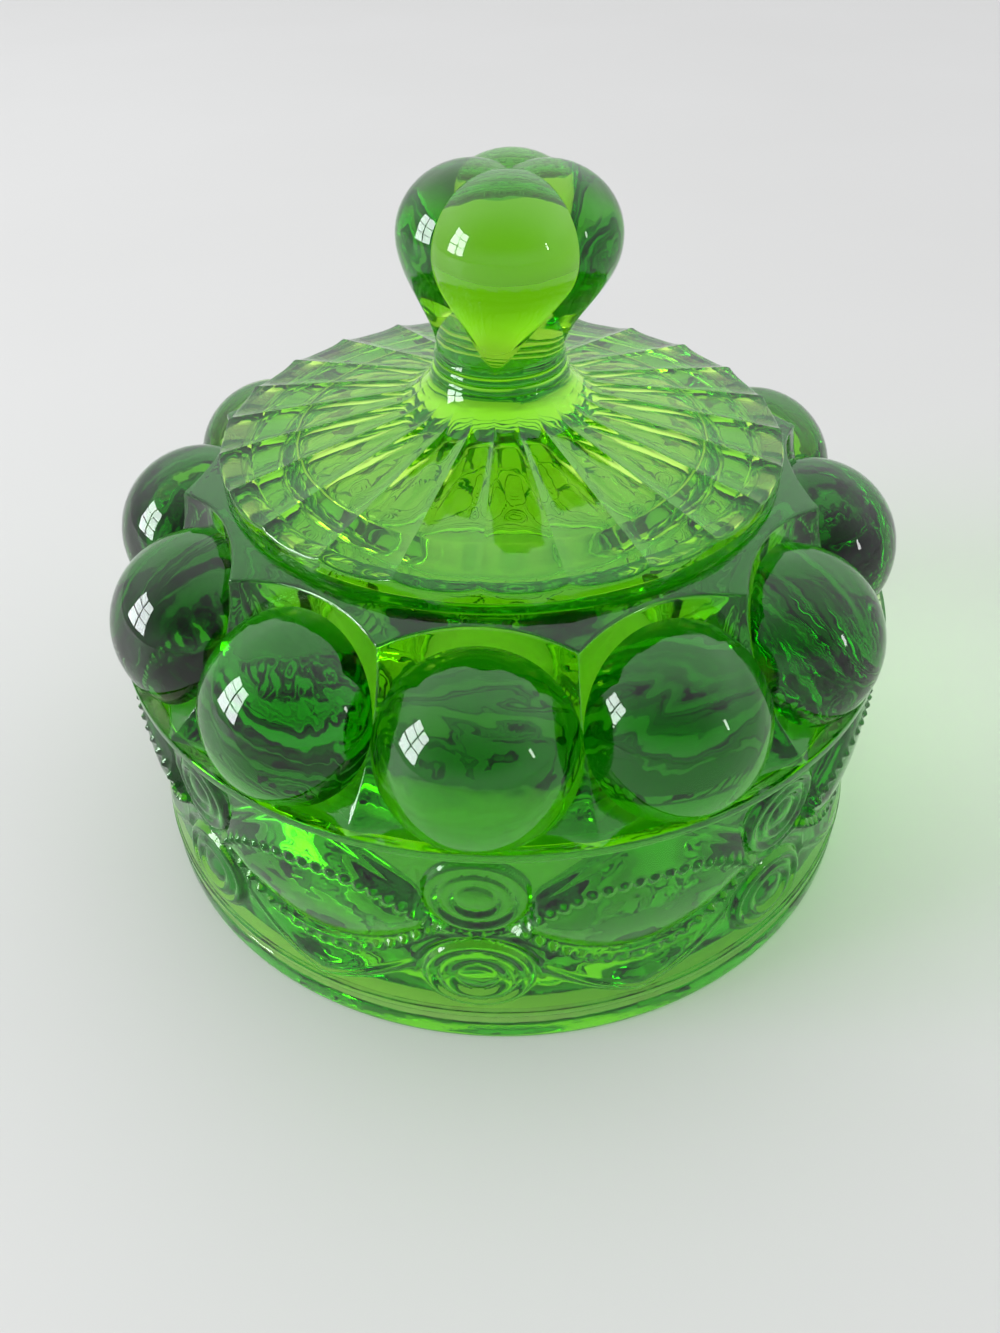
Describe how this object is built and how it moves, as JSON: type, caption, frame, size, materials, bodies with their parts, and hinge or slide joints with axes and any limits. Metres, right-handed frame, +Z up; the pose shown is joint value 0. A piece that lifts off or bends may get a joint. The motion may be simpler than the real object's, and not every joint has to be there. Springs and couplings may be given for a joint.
{
  "type": "covered candy dish",
  "caption": "Round pressed-glass candy dish with balls around the shoulder, a patterned wall, and a ribbed lift-off lid with a lobed finial.",
  "frame": {"origin": "centre of the foot ring's resting plane", "axes": "+Z up along the dish's axis of symmetry, -Y towards the front ball"},
  "size_m": [0.1402, 0.1402, 0.1194],
  "materials": {
    "green_glass_bowl": "fire-polished clear green pressed glass",
    "green_glass_lid": "fire-polished clear green pressed glass"
  },
  "bodies": {
    "bowl": {"bowl": "green_glass_bowl"},
    "lid": {"lid": "green_glass_lid"}
  },
  "joints": [
    {"name": "lid_lift", "type": "slide", "parent": "bowl", "child": "lid", "axis": [0, 0, 1], "range_m": [0, 0.06]}
  ]
}
